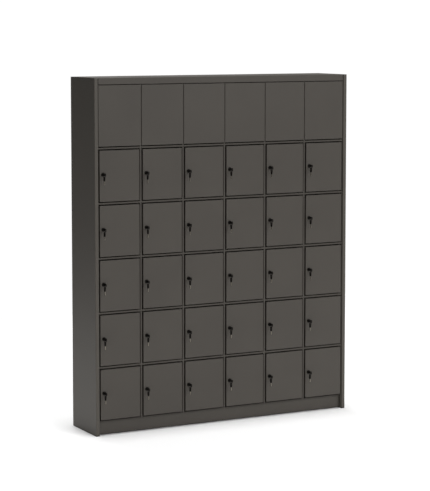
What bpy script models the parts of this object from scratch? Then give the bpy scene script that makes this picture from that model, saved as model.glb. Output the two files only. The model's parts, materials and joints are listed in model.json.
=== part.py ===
"""A bank of steel lockers: five rows of six hinged doors under a row of fixed blank panels.

Metres, +Z up. The front faces -Y, and the origin is on the floor, midway across the width and
midway between the key heads and the back. Every part is a folded sheet, as the real one is.
"""

import math

import bmesh
import bpy
from mathutils import Matrix, Vector

# Whole object
DEPTH = 0.300
COLUMNS = 6
ROWS = 5

# Sheet steel. A bend's share is the radius of its middle line over the sheet's thickness.
SHEET = 0.001
BEND_SHARE = 1.5
TIGHT_BEND_SHARE = 0.75
BEND_STEPS = 1
FACE_STEPS = 1
CLEARANCE = 0.0003
OVERRUN = 0.010

# Side panels and the feet under them
GABLE_WIDTH = 0.020
GABLE_STEP = 0.003
GABLE_CORNER = 0.0025
FOOT_HEIGHT = 0.004
FOOT_INSET = 0.001
FOOT_PLUG = 0.012

# Inner frame of posts and rails
POST_WIDTH = 0.010
RAIL_HEIGHT = 0.010
BASE_HEIGHT = 0.0765
SHELF_HEM = 0.015
FASCIA_HEIGHT = 0.034
PLINTH_SETBACK = 0.023
PLINTH_FLANGE = 0.020

# Doors and the blank panels above them
DOOR_WIDTH = 0.224
DOOR_HEIGHT = 0.262
DOOR_THICKNESS = 0.018
DOOR_SETBACK = 0.003
DOOR_PROUD = 0.005
DOOR_GAP = 0.005
DOOR_LIP = 0.012
PANEL_HEIGHT = 0.3115
SEAM = 0.003

# Hinge pins
PIN_RADIUS = 0.002
PIN_PLAY = 0.0005
PIN_REACH_SHARE = 0.3
PIN_SIDES = 6
SWING_PLAY = 0.001

# Cam locks
LOCK_INSET = 0.019
LOCK_RISE = 0.009
PLUG_RADIUS = 0.0048
TAIL_RADIUS = 0.0013
BARREL_WALL = 0.0027
BARREL_FLOOR = 0.003
BEZEL_RIM = 0.0025
BEZEL_THICKNESS = 0.003
PLUG_PROUD = 0.0005
CAM_WIDTH = 0.014
CAM_THICKNESS = 0.002
CAM_PLAY = 0.001
CAM_CATCH_SHARE = 0.4
TURNING_ROW = 1
BEZEL_SIDES = 12
BARREL_SIDES = 6

# Keys
KEY_NECK = 0.007
KEY_HEAD_LENGTH = 0.025
KEY_HEAD_WIDTH = 0.016
KEY_THICKNESS = 0.003
KEY_BLADE_LENGTH = 0.018
KEY_BLADE_WIDTH = 0.0065
KEY_CORNER_SHARE = 0.25
KEY_EYE = 0.0035
KEY_TURN = math.radians(10)
RING_RADIUS = 0.0062
RING_WIRE = 0.0008
RING_STEPS = 6
RING_SIDES = 3

# Places across the width
OPENING = DOOR_WIDTH + 2 * DOOR_GAP
COLUMN_PITCH = OPENING + POST_WIDTH
INNER = (COLUMNS * COLUMN_PITCH - POST_WIDTH) / 2
SIDE = INNER + GABLE_STEP + GABLE_WIDTH
PANEL_WIDTH = (2 * INNER - (COLUMNS - 1) * SEAM) / COLUMNS

# Places up the height
ROW_PITCH = DOOR_HEIGHT + 2 * DOOR_GAP + RAIL_HEIGHT
LOCK_UP = DOOR_HEIGHT / 2 + LOCK_RISE
PANEL_BOTTOM = BASE_HEIGHT + ROWS * ROW_PITCH + DOOR_GAP
FASCIA_BOTTOM = PANEL_BOTTOM + PANEL_HEIGHT + SEAM
HEIGHT = FASCIA_BOTTOM + FASCIA_HEIGHT
UNDER_TOP = HEIGHT - SHEET - CLEARANCE

# Places from front to back
KEY_REACH = BEZEL_THICKNESS + PLUG_PROUD + KEY_NECK + KEY_HEAD_LENGTH
FRONT = (KEY_REACH - DOOR_SETBACK - DEPTH) / 2
BACK = FRONT + DEPTH
DOOR_FACE = FRONT + DOOR_SETBACK
FRAME_FACE = DOOR_FACE + DOOR_PROUD
FOLD_END = DOOR_FACE + DOOR_THICKNESS + SHEET
SHEET_END = BACK - SHEET - CLEARANCE
SLOT_END = (FRAME_FACE + SHEET_END) / 2
PANEL_DEPTH = DOOR_PROUD - CLEARANCE

# The hinge axis lies far enough in for a door's front corner to swing clear of the frame
SWING_REACH = DOOR_GAP - SWING_PLAY
PIN_SETBACK = DOOR_THICKNESS / 2
PIN_INSET = max(2 * PIN_RADIUS, (PIN_SETBACK**2 - SWING_REACH**2) / (2 * SWING_REACH))
PIN_Y = DOOR_FACE + PIN_SETBACK
PIN_LENGTH = DOOR_GAP + RAIL_HEIGHT * PIN_REACH_SHARE

# The cam turns just behind the folded edges of the frame
BARREL_RADIUS = PLUG_RADIUS + BARREL_WALL
BEZEL_RADIUS = BARREL_RADIUS + BEZEL_RIM
CAM_START = FOLD_END - DOOR_FACE + CAM_PLAY
BARREL_END = CAM_START - CLEARANCE
BORE_END = BARREL_END - BARREL_FLOOR
CAM_LENGTH = LOCK_INSET + DOOR_GAP + POST_WIDTH * CAM_CATCH_SHARE

# Faces that meet at less than this are shaded as one round surface
SMOOTH_ANGLE = math.radians(35)

PARTS = "locker"
CUTTERS = "locker_cutters"


def clear_scene():
    for item in list(bpy.data.objects):
        bpy.data.objects.remove(item, do_unlink=True)


def collection(name):
    found = bpy.data.collections.get(name)
    if found is None:
        found = bpy.data.collections.new(name)
        bpy.context.scene.collection.children.link(found)
    return found


def finish_material(name, colour, metallic, roughness):
    material = bpy.data.materials.new(name)
    material.use_nodes = True
    shader = material.node_tree.nodes["Principled BSDF"]
    shader.inputs["Base Color"].default_value = (*colour, 1)
    shader.inputs["Metallic"].default_value = metallic
    shader.inputs["Roughness"].default_value = roughness
    material.diffuse_color = (*colour, 1)
    return material


def add_object(name, mesh, group=PARTS):
    item = bpy.data.objects.new(name, mesh)
    collection(group).objects.link(item)
    return item


def as_cutter(item):
    item.hide_render = True
    item.display_type = "WIRE"
    return item


def boxes(name, corners, group=PARTS):
    """One object of separate boxes, each given by its lowest and highest corner."""
    bm = bmesh.new()
    for low, high in corners:
        low, high = Vector(low), Vector(high)
        size = high - low
        place = Matrix.Translation((low + high) / 2) @ Matrix.Diagonal((*size, 1))
        bmesh.ops.create_cube(bm, size=1, matrix=place)
    mesh = bpy.data.meshes.new(name)
    bm.to_mesh(mesh)
    bm.free()
    return add_object(name, mesh, group)


def rods(name, spots, radius, sides, turn=Matrix.Identity(4), group=PARTS):
    """One object of separate rods, each given by the middle of its base and its length."""
    bm = bmesh.new()
    for base, length in spots:
        lift = Matrix.Translation((0, 0, length / 2))
        place = Matrix.Translation(base) @ turn @ lift
        bmesh.ops.create_cone(
            bm,
            cap_ends=True,
            segments=sides,
            radius1=radius,
            radius2=radius,
            depth=length,
            matrix=place,
        )
    mesh = bpy.data.meshes.new(name)
    bm.to_mesh(mesh)
    bm.free()
    return add_object(name, mesh, group)


def evaluated_mesh(item):
    """The object's shape with its modifiers, in its own frame, as a closed mesh."""
    graph = bpy.context.evaluated_depsgraph_get()
    mesh = bpy.data.meshes.new_from_object(item.evaluated_get(graph))
    bm = bmesh.new()
    bm.from_mesh(mesh)
    bmesh.ops.remove_doubles(bm, verts=bm.verts, dist=CLEARANCE / 100)
    bm.to_mesh(mesh)
    bm.free()
    return mesh


def prism(name, outline, length, place):
    """A flat outline made solid. It is drawn in the first two axes of place."""
    curve = bpy.data.curves.new(name, "CURVE")
    curve.dimensions = "2D"
    curve.fill_mode = "BOTH"
    curve.extrude = length / 2
    spline = curve.splines.new("POLY")
    spline.points.add(len(outline) - 1)
    for point, (x, y) in zip(spline.points, outline):
        point.co = (x, y, 0, 1)
    spline.use_cyclic_u = True
    drawn = add_object(name + "_outline", curve)
    bpy.context.view_layer.update()
    mesh = evaluated_mesh(drawn)
    mesh.transform(place @ Matrix.Translation((0, 0, length / 2)))
    bpy.data.objects.remove(drawn)
    mesh.name = name
    return add_object(name, mesh)


def along_x(start):
    """Draws in Y and Z, and grows towards +X from start."""
    return Matrix(((0, 0, 1, start), (1, 0, 0, 0), (0, 1, 0, 0), (0, 0, 0, 1)))


def along_y(start):
    """Draws in Z and X, and grows towards +Y from start."""
    return Matrix(((0, 1, 0, 0), (0, 0, 1, start), (1, 0, 0, 0), (0, 0, 0, 1)))


def along_z(start):
    """Draws in X and Y, and grows towards +Z from start."""
    return Matrix.Translation((0, 0, start))


def bend(corner, before, after, radius):
    """Points and normals of the arc that rounds one corner of a sheet's middle line."""
    into = (corner - before).normalized()
    out = (after - corner).normalized()
    turn = into.angle_signed(out)
    reach = radius * math.tan(abs(turn) / 2)
    start = corner - into * reach
    side = Vector((into.y, -into.x))
    centre = start + side * math.copysign(radius, turn)
    found = []
    for step in range(BEND_STEPS + 1):
        spin = Matrix.Rotation(-turn * step / BEND_STEPS, 2)
        found.append((centre + spin @ (start - centre), spin @ side))
    return found


def folded(path, radii):
    """The outline of a folded sheet, from its middle line and the radius of each bend."""
    path = [Vector(point) for point in path]
    first = (path[1] - path[0]).normalized()
    last = (path[-1] - path[-2]).normalized()
    line = [(path[0], Vector((first.y, -first.x)))]
    for index, radius in enumerate(radii, start=1):
        line += bend(path[index], path[index - 1], path[index + 1], radius)
    line.append((path[-1], Vector((last.y, -last.x))))
    right = [point + normal * SHEET / 2 for point, normal in line]
    left = [point - normal * SHEET / 2 for point, normal in line]
    return right + left[::-1]


def boolean(item, other, operation="DIFFERENCE"):
    modifier = item.modifiers.new(other.name, "BOOLEAN")
    modifier.operation = operation
    modifier.solver = "EXACT"
    modifier.object = other
    return item


def baked(item, others):
    """The item's mesh with its booleans done, once the objects used for them are removed."""
    bpy.context.view_layer.update()
    mesh = evaluated_mesh(item)
    mesh.shade_smooth()
    mesh.set_sharp_from_angle(angle=SMOOTH_ANGLE)
    for done in (item, *others):
        bpy.data.objects.remove(done)
    return mesh


def column_left(column):
    """Left edge of the clear opening of a column."""
    return -INNER + column * COLUMN_PITCH


def post_left(column):
    """Left side of the post to the right of a column."""
    return column_left(column) + OPENING


def row_bottom(row):
    """Bottom edge of the clear opening of a row, counted from the top."""
    return BASE_HEIGHT + (ROWS - row) * ROW_PITCH


def rail_top(row):
    """Top of the rail above a row, which is the top of its shelf."""
    return row_bottom(row) + ROW_PITCH


def lock_height(row):
    return row_bottom(row) + DOOR_GAP + LOCK_UP


def side_panel(name, sign):
    """A double-skinned side: outer skin, front face, stepped return, inner skin, back face."""
    half = SHEET / 2
    face = GABLE_WIDTH - half
    skin = GABLE_WIDTH + GABLE_STEP - half
    step = DOOR_SETBACK + DOOR_PROUD + half
    steps = [
        (skin, DEPTH - SHEET - CLEARANCE),
        (skin, step),
        (face, step),
        (face, half),
        (half, half),
        (half, DEPTH - half),
        (GABLE_WIDTH + GABLE_STEP, DEPTH - half),
    ]
    path = [(sign * (SIDE - inward), FRONT + back) for inward, back in steps]
    tight = SHEET * TIGHT_BEND_SHARE
    usual = SHEET * BEND_SHARE
    radii = [tight, tight, usual, GABLE_CORNER - half, usual]
    length = UNDER_TOP - FOOT_HEIGHT
    return prism(name, folded(path, radii), length, along_z(FOOT_HEIGHT))


def strike_slots():
    """Slots in the left side's inner skin, where the first column's cams catch."""
    wall = LOCK_INSET + DOOR_GAP - CLEARANCE
    drop = math.sqrt(CAM_LENGTH**2 + (CAM_WIDTH / 2) ** 2 - wall**2) + CAM_PLAY
    start = DOOR_FACE + CAM_START - CAM_PLAY
    end = start + CAM_THICKNESS + 2 * CAM_PLAY
    corners = []
    for row in range(1, ROWS + 1):
        low = (-INNER - 2 * SHEET, start, lock_height(row) - drop)
        high = (-INNER + SHEET, end, lock_height(row) + CAM_WIDTH / 2 + CAM_PLAY)
        corners.append((low, high))
    return as_cutter(boxes("strike_slots", corners, CUTTERS))


def side_foot(name, sign):
    """A strip under a side panel, with a plug up inside it."""
    outer = sign * (SIDE - FOOT_INSET)
    inner = sign * (INNER + FOOT_INSET)
    top = FOOT_HEIGHT - CLEARANCE
    plate = boxes(
        name,
        [
            (
                (min(outer, inner), FRONT + FOOT_INSET, 0),
                (max(outer, inner), BACK - FOOT_INSET, top),
            )
        ],
    )
    outer = sign * (SIDE - GABLE_CORNER - CLEARANCE)
    inner = sign * (SIDE - GABLE_WIDTH + SHEET + CLEARANCE)
    low = (min(outer, inner), FRONT + GABLE_CORNER + CLEARANCE, top / 2)
    high = (max(outer, inner), SHEET_END - CLEARANCE, FOOT_HEIGHT + FOOT_PLUG)
    plug = as_cutter(boxes(name + "_plug", [(low, high)], CUTTERS))
    return boolean(plate, plug, "UNION")


def top_panel():
    """The top sheet, folded down in front as a fascia and lying over both sides."""
    half = SHEET / 2
    path = [
        (BACK, HEIGHT - half),
        (DOOR_FACE + half, HEIGHT - half),
        (DOOR_FACE + half, FASCIA_BOTTOM + half),
        (FRAME_FACE - CLEARANCE, FASCIA_BOTTOM + half),
    ]
    end = INNER - CLEARANCE
    panel = prism("top_panel", folded(path, [SHEET * BEND_SHARE] * 2), 2 * end, along_x(-end))
    ends = [
        ((-SIDE, FRONT, HEIGHT - SHEET), (SHEET - end, BACK, HEIGHT)),
        ((end - SHEET, FRONT, HEIGHT - SHEET), (SIDE, BACK, HEIGHT)),
    ]
    wings = as_cutter(boxes("top_panel_ends", ends, CUTTERS))
    return boolean(panel, wings, "UNION")


def sheet_between_sides(name, path):
    """A folded sheet that runs from one side panel to the other."""
    end = INNER - CLEARANCE
    outline = folded(path, [SHEET * BEND_SHARE] * (len(path) - 2))
    return prism(name, outline, 2 * end, along_x(-end))


def back_panel():
    low = (-INNER + CLEARANCE, BACK - SHEET, FOOT_HEIGHT)
    high = (INNER - CLEARANCE, BACK, UNDER_TOP)
    return boxes("back_panel", [(low, high)])


def bottom_shelf():
    """The floor of the lowest row, hemmed down at the back."""
    half = SHEET / 2
    level = BASE_HEIGHT - half
    path = [
        (FRAME_FACE, level),
        (SHEET_END - half, level),
        (SHEET_END - half, level - SHELF_HEM),
    ]
    return sheet_between_sides("bottom_shelf", path)


def plinth():
    """A channel under the bottom shelf, open to the back."""
    half = SHEET / 2
    face = FRONT + PLINTH_SETBACK + half
    top = BASE_HEIGHT - SHEET - CLEARANCE - half
    bottom = FOOT_HEIGHT + half
    end = face + PLINTH_FLANGE
    path = [(end, top), (face, top), (face, bottom), (end, bottom)]
    return sheet_between_sides("plinth", path)


def divider(column):
    """An upright sheet whose front edge is folded into a post."""
    half = SHEET / 2
    left = post_left(column) + half
    right = post_left(column) + POST_WIDTH - half
    path = [
        (left, SHEET_END),
        (left, FRAME_FACE + half),
        (right, FRAME_FACE + half),
        (right, FOLD_END),
    ]
    outline = folded(path, [SHEET * BEND_SHARE] * 2)
    bottom = BASE_HEIGHT + CLEARANCE
    return prism(f"divider_{column + 1}", outline, UNDER_TOP - bottom, along_z(bottom))


def divider_slots():
    """The back halves of the cross joints, where the shelves pass through the dividers."""
    corners = []
    for row in range(1, ROWS + 1):
        top = rail_top(row)
        low = (-INNER, SLOT_END - CLEARANCE, top - SHEET - CLEARANCE)
        high = (INNER, BACK + OVERRUN, top + CLEARANCE)
        corners.append((low, high))
    return as_cutter(boxes("divider_slots", corners, CUTTERS))


def shelf(row):
    """A sheet whose front edge is folded down and back into a rail."""
    half = SHEET / 2
    top = rail_top(row) - half
    bottom = rail_top(row) - RAIL_HEIGHT + half
    path = [
        (SHEET_END, top),
        (FRAME_FACE + half, top),
        (FRAME_FACE + half, bottom),
        (FOLD_END, bottom),
    ]
    return sheet_between_sides(f"shelf_{row}", path)


def shelf_notches():
    """The front halves of the cross joints: room for the posts, then for their sheets."""
    wide, narrow = [], []
    top = HEIGHT
    for column in range(COLUMNS - 1):
        left = post_left(column) - CLEARANCE
        right = post_left(column) + POST_WIDTH + CLEARANCE
        thin = post_left(column) + SHEET + CLEARANCE
        wide.append(((left, FRONT, 0), (right, FOLD_END + CLEARANCE, top)))
        narrow.append(((left, FOLD_END, 0), (thin, SLOT_END + CLEARANCE, top)))
    return [
        as_cutter(boxes("shelf_post_notches", wide, CUTTERS)),
        as_cutter(boxes("shelf_sheet_slots", narrow, CUTTERS)),
    ]


def pin_holes(name, bottom, top):
    """A hole on each column's hinge axis, from one height to another."""
    spots = []
    for column in range(COLUMNS):
        spots.append(((hinge_x(column), PIN_Y, bottom), top - bottom))
    found = rods(name, spots, PIN_RADIUS + PIN_PLAY, PIN_SIDES, group=CUTTERS)
    return as_cutter(found)


def hinge_x(column):
    return column_left(column) + DOOR_GAP + DOOR_WIDTH - PIN_INSET


def tray(name, low, high):
    """A sheet with its edges folded back, open behind, with a small radius round its face."""
    bm = bmesh.new()
    low, high = Vector(low), Vector(high)
    place = Matrix.Translation((low + high) / 2) @ Matrix.Diagonal((*(high - low), 1))
    bmesh.ops.create_cube(bm, size=1, matrix=place)
    limit = low.y + SHEET / 2
    rim = [edge for edge in bm.edges if all(vert.co.y < limit for vert in edge.verts)]
    bmesh.ops.bevel(
        bm,
        geom=rim,
        offset=SHEET * BEND_SHARE,
        segments=FACE_STEPS,
        profile=0.5,
        affect="EDGES",
    )
    mesh = bpy.data.meshes.new(name)
    bm.to_mesh(mesh)
    bm.free()
    return add_object(name, mesh)


def blank_panel_mesh():
    """A shallow tray that covers the posts above the doors. Its own frame starts at a corner."""
    shell = tray("blank_panel", (0, 0, 0), (PANEL_WIDTH, PANEL_DEPTH, PANEL_HEIGHT))
    low = (SHEET, SHEET, SHEET)
    high = (PANEL_WIDTH - SHEET, PANEL_DEPTH + OVERRUN, PANEL_HEIGHT - SHEET)
    hollow = boxes("blank_panel_hollow", [(low, high)])
    return baked(boolean(shell, hollow), [hollow])


def door_mesh(name, turning):
    """A door with its pins and lock body, round the hinge axis at its bottom edge.

    A door whose lock doesn't turn carries the plug, cam and keys as one piece with it.
    """
    left = PIN_INSET - DOOR_WIDTH
    front = -PIN_SETBACK
    back = front + DOOR_THICKNESS
    shell = tray(name, (left, front, 0), (PIN_INSET, back, DOOR_HEIGHT))
    low = (left + SHEET, front + SHEET, SHEET)
    high = (PIN_INSET - SHEET, back - SHEET, DOOR_HEIGHT - SHEET)
    hollow = boxes(name + "_hollow", [(low, high)])
    low = (left + DOOR_LIP, (front + back) / 2, DOOR_LIP)
    high = (PIN_INSET - DOOR_LIP, back + OVERRUN, DOOR_HEIGHT - DOOR_LIP)
    window = boxes(name + "_window", [(low, high)])
    spots = [
        ((0, 0, -PIN_LENGTH), PIN_LENGTH + SHEET / 2),
        ((0, 0, DOOR_HEIGHT - SHEET / 2), PIN_LENGTH + SHEET / 2),
    ]
    pins = rods(name + "_pins", spots, PIN_RADIUS, PIN_SIDES)
    boolean(shell, hollow)
    boolean(shell, window)
    boolean(shell, pins, "UNION")
    used = [hollow, window, pins]
    place = Matrix.Translation((left + LOCK_INSET, front, LOCK_UP))
    for piece in lock_body(name):
        piece.matrix_world = place
        boolean(shell, piece, "UNION")
        used.append(piece)
    if turning:
        for bore in lock_bores(name):
            bore.matrix_world = place
            boolean(shell, bore)
            used.append(bore)
    else:
        plug = add_object(name + "_plug", plug_mesh(name + "_plug"))
        plug.matrix_world = place
        boolean(shell, plug, "UNION")
        used.append(plug)
    return baked(shell, used)


def facing_y(base, length):
    """A rod's base and length, turned to run along +Y with its flats level."""
    return [(base, length)], Matrix.Rotation(math.radians(-90), 4, "X")


def lock_body(name):
    """The bezel in front of the door and the barrel behind it, round the lock's axis."""
    spots, turn = facing_y((0, -BEZEL_THICKNESS, 0), BEZEL_THICKNESS + SHEET / 2)
    bezel = rods(name + "_bezel", spots, BEZEL_RADIUS, BEZEL_SIDES, turn)
    spots, turn = facing_y((0, SHEET / 4, 0), BARREL_END - SHEET / 4)
    barrel = rods(name + "_barrel", spots, BARREL_RADIUS, BARREL_SIDES, turn)
    return bezel, barrel


def lock_bores(name):
    """Room for the plug, down to the barrel's floor, and for its tail through that floor."""
    room = 1 / math.cos(math.pi / BARREL_SIDES)
    spots, turn = facing_y((0, -OVERRUN, 0), BORE_END + OVERRUN)
    wide = rods(name + "_bore", spots, (PLUG_RADIUS + CLEARANCE) * room, BARREL_SIDES, turn)
    spots, turn = facing_y((0, 0, 0), BARREL_END + OVERRUN)
    thin = rods(name + "_tail_bore", spots, (TAIL_RADIUS + CLEARANCE) * room, BARREL_SIDES, turn)
    return wide, thin


def plug_mesh(name):
    """The turning part of a lock with its cam hanging, its key in front and the spare key."""
    start = -BEZEL_THICKNESS - PLUG_PROUD
    spots, turn = facing_y((0, start, 0), BORE_END - CLEARANCE - start)
    plug = rods(name, spots, PLUG_RADIUS, BARREL_SIDES, turn)
    spots, turn = facing_y((0, 0, 0), CAM_START + CAM_THICKNESS / 2)
    tail = rods(name + "_tail", spots, TAIL_RADIUS, BARREL_SIDES, turn)
    inserted = key(name + "_key")
    inserted.matrix_world = Matrix.Translation((0, start - KEY_NECK - KEY_HEAD_LENGTH, 0))
    eye = start - KEY_NECK - KEY_HEAD_LENGTH / 2
    used = [tail, cam(name), inserted, key_ring(name, eye), spare_key(name, eye)]
    for piece in used:
        boolean(plug, piece, "UNION")
    return baked(plug, used)


def cam(name):
    """The cam behind the door. It hangs from the plug and turns up to the left."""
    wide = CAM_WIDTH / 2
    tip = wide - CAM_LENGTH
    outline = [
        (wide, -wide),
        (wide, wide),
        (tip, wide),
        (-CAM_LENGTH, wide / 2),
        (-CAM_LENGTH, -wide / 2),
        (tip, -wide),
    ]
    return prism(name + "_cam", outline, CAM_THICKNESS, along_y(CAM_START))


def key(name):
    """A key with a moulded head. It lies along +Y from its free end, with its flats to X."""
    wide, blade = KEY_HEAD_WIDTH / 2, KEY_BLADE_WIDTH / 2
    cut = KEY_HEAD_WIDTH * KEY_CORNER_SHARE
    tip = KEY_HEAD_LENGTH + KEY_BLADE_LENGTH
    half = [
        (0, wide - cut),
        (cut, wide),
        (KEY_HEAD_LENGTH - cut, wide),
        (KEY_HEAD_LENGTH, blade),
        (tip, blade),
    ]
    outline = [(along, -side) for along, side in half] + half[::-1]
    return prism(name, outline, KEY_THICKNESS, along_x(-KEY_THICKNESS / 2))


def key_ring(name, eye):
    """The ring through the key in the lock, hanging from its eye."""
    bpy.ops.mesh.primitive_torus_add(
        major_segments=RING_STEPS,
        minor_segments=RING_SIDES,
        major_radius=RING_RADIUS,
        minor_radius=RING_WIRE,
    )
    ring = bpy.context.object
    ring.name = name + "_ring"
    upright = Matrix.Rotation(math.radians(90), 4, "X")
    spin = Matrix.Rotation(KEY_TURN, 4, "Z")
    ring.matrix_world = Matrix.Translation((0, eye, -RING_RADIUS)) @ spin @ upright
    return ring


def spare_key(name, eye):
    """The second key, which hangs from the ring with its blade down."""
    spare = key(name + "_spare")
    down = Matrix.Rotation(math.radians(-90), 4, "X")
    spin = Matrix.Rotation(KEY_TURN, 4, "Z")
    spare.matrix_world = Matrix.Translation((0, eye, KEY_EYE - 2 * RING_RADIUS)) @ spin @ down
    return spare


def paint(items, material):
    for item in items:
        if not item.data.materials:
            item.data.materials.append(material)
        item.color = material.diffuse_color


def build_carcass():
    left = boolean(side_panel("side_panel_left", -1), strike_slots())
    right = side_panel("side_panel_right", 1)
    dividers = [divider(column) for column in range(COLUMNS - 1)]
    shelves = [shelf(row) for row in range(1, ROWS + 1)]
    floor = bottom_shelf()
    slots = divider_slots()
    notches = shelf_notches()
    middle = rail_top(1) - ROW_PITCH / 2
    through = pin_holes("pin_holes", 0, middle)
    below_top_shelf = pin_holes("pin_holes_top", middle, rail_top(1) - RAIL_HEIGHT / 2)
    for item in dividers:
        boolean(item, slots)
    for item in shelves:
        for cutter in notches:
            boolean(item, cutter)
    for item in (floor, *shelves[1:]):
        boolean(item, through)
    boolean(shelves[0], below_top_shelf)
    return [left, right, top_panel(), back_panel(), floor, plinth(), *dividers, *shelves]


def build_blank_panels():
    mesh = blank_panel_mesh()
    panels = []
    for column in range(COLUMNS):
        panel = add_object(f"blank_panel_{column + 1}", mesh)
        left = -INNER + column * (PANEL_WIDTH + SEAM)
        panel.location = (left, DOOR_FACE, PANEL_BOTTOM)
        panels.append(panel)
    return panels


def build_doors():
    turning = door_mesh("door_turning_lock", True)
    fixed = door_mesh("door_fixed_lock", False)
    plug = plug_mesh("lock_plug")
    doors, plugs = [], []
    for row in range(1, ROWS + 1):
        for column in range(COLUMNS):
            turns = row == TURNING_ROW
            door = add_object(f"door_r{row}_c{column + 1}", turning if turns else fixed)
            door.location = (hinge_x(column), PIN_Y, row_bottom(row) + DOOR_GAP)
            doors.append(door)
            if turns:
                core = add_object(f"lock_plug_r{row}_c{column + 1}", plug)
                core.parent = door
                core.location = (PIN_INSET - DOOR_WIDTH + LOCK_INSET, -PIN_SETBACK, LOCK_UP)
                plugs.append(core)
    return doors, plugs


def build():
    clear_scene()
    painted = finish_material("anthracite_powder_coat", (0.075, 0.071, 0.064), 0.0, 0.55)
    black = finish_material("black_lock_parts", (0.012, 0.012, 0.012), 0.0, 0.4)
    rubber = finish_material("black_foot_plastic", (0.015, 0.015, 0.015), 0.0, 0.6)
    paint(build_carcass(), painted)
    paint(build_blank_panels(), painted)
    doors, plugs = build_doors()
    paint(doors, painted)
    paint(plugs, black)
    feet = [side_foot("side_foot_left", -1), side_foot("side_foot_right", 1)]
    paint(feet, rubber)


build()
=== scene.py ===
"""The looks of a wide bank of steel lockers, laid out as an add-on and run as a script.

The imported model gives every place. Each operator makes one kind of piece round it, the way a
sheet-metal shop and a lock maker would, and the last one sets up the studio.
"""

import json
import math

import bpy
from bpy.props import FloatProperty, FloatVectorProperty, PointerProperty
from mathutils import Matrix, Vector

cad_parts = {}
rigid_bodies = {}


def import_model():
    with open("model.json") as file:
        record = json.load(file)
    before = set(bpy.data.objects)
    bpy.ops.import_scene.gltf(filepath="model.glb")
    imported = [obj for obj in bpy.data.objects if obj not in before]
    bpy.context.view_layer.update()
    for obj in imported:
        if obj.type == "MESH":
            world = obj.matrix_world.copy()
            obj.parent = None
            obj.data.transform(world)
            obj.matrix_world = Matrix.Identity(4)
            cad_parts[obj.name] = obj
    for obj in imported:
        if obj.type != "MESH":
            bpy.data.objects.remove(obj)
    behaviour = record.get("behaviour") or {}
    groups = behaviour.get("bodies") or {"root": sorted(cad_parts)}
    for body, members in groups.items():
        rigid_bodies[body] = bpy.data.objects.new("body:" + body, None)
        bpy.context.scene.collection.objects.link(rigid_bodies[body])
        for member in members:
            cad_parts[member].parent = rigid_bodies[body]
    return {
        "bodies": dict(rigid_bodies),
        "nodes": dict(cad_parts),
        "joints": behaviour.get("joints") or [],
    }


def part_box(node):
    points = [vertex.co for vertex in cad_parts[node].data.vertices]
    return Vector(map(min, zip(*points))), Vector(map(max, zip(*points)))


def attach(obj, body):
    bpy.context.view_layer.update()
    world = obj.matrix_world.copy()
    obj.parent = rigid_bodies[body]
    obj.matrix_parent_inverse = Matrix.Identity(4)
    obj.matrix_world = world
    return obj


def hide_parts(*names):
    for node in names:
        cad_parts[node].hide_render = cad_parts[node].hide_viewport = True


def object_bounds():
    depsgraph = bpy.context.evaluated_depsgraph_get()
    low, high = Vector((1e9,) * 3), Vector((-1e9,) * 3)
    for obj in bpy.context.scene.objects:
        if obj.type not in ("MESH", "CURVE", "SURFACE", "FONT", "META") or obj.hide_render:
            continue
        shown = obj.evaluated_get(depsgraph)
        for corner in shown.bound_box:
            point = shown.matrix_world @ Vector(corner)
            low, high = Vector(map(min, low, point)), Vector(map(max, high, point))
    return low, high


bl_info = {
    "name": "Steel locker bank",
    "version": (1, 0, 0),
    "blender": (4, 5, 0),
    "location": "3D View > Sidebar > Lockers",
    "description": "Builds a powder-coated bank of lockers with cam locks and keys",
    "category": "Object",
}

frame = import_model()
CAD_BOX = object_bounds()

COLUMNS = 6
ROWS = 5
X, Y, Z = 0, 1, 2
# Places less than this apart are one place.
NEAR = 1e-5
# A face looks along an axis where its normal has this share or more on it.
FACING = 0.99
RIGHT_ANGLE = math.radians(90)
SMOOTH_ANGLE = math.radians(40)


def linear(code):
    """An sRGB hex colour as linear red, green and blue."""
    shares = [int(code[place : place + 2], 16) / 255 for place in (1, 3, 5)]
    return tuple(
        share / 12.92 if share <= 0.04045 else ((share + 0.055) / 1.055) ** 2.4 for share in shares
    )


class LockerColours(bpy.types.PropertyGroup):
    coat: FloatVectorProperty(
        name="Powder coat",
        description="Colour of the powder coat on every sheet",
        subtype="COLOR",
        min=0,
        max=1,
        default=linear("#47433E"),
    )
    # Also the painted highlight on the bends, where the coat is drawn lighter; in faint clouds it is
    # coat that lies thinner.
    coat_thin_and_highlight: FloatVectorProperty(
        name="Thin powder coat",
        description="Colour of the coat where it lies thinner, over bends and in faint clouds",
        subtype="COLOR",
        min=0,
        max=1,
        default=linear("#4F4B45"),
    )
    plastic: FloatVectorProperty(
        name="Black plastic",
        description="Colour of the key heads, the lock bezels and plugs, and the feet",
        subtype="COLOR",
        min=0,
        max=1,
        default=linear("#090603"),
    )
    plastic_rubbed: FloatVectorProperty(
        name="Rubbed plastic",
        description="Colour of the black plastic along its rubbed edges",
        subtype="COLOR",
        min=0,
        max=1,
        default=linear("#171411"),
    )
    nickel: FloatVectorProperty(
        name="Nickel plate",
        description="Colour of the key blades, lock barrels and cams",
        subtype="COLOR",
        min=0,
        max=1,
        default=linear("#8E8A82"),
    )
    nickel_worn: FloatVectorProperty(
        name="Worn nickel plate",
        description="Colour of the nickel where its edges are worn thin",
        subtype="COLOR",
        min=0,
        max=1,
        default=linear("#A09A8D"),
    )
    spring_steel: FloatVectorProperty(
        name="Spring steel",
        description="Colour of the burnished steel rings between the keys",
        subtype="COLOR",
        min=0,
        max=1,
        default=linear("#2B2A28"),
    )
    spring_bare: FloatVectorProperty(
        name="Bare spring steel",
        description="Colour of the rings where the keys have rubbed off the oxide",
        subtype="COLOR",
        min=0,
        max=1,
        default=linear("#55524D"),
    )
    floor: FloatVectorProperty(
        name="Floor",
        description="Colour of the studio floor",
        subtype="COLOR",
        min=0,
        max=1,
        default=linear("#F6F6F6"),
    )
    floor_scuffed: FloatVectorProperty(
        name="Floor, scuffed",
        description="Colour of the studio floor in its faint mottling",
        subtype="COLOR",
        min=0,
        max=1,
        default=linear("#F2F2F2"),
    )


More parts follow.
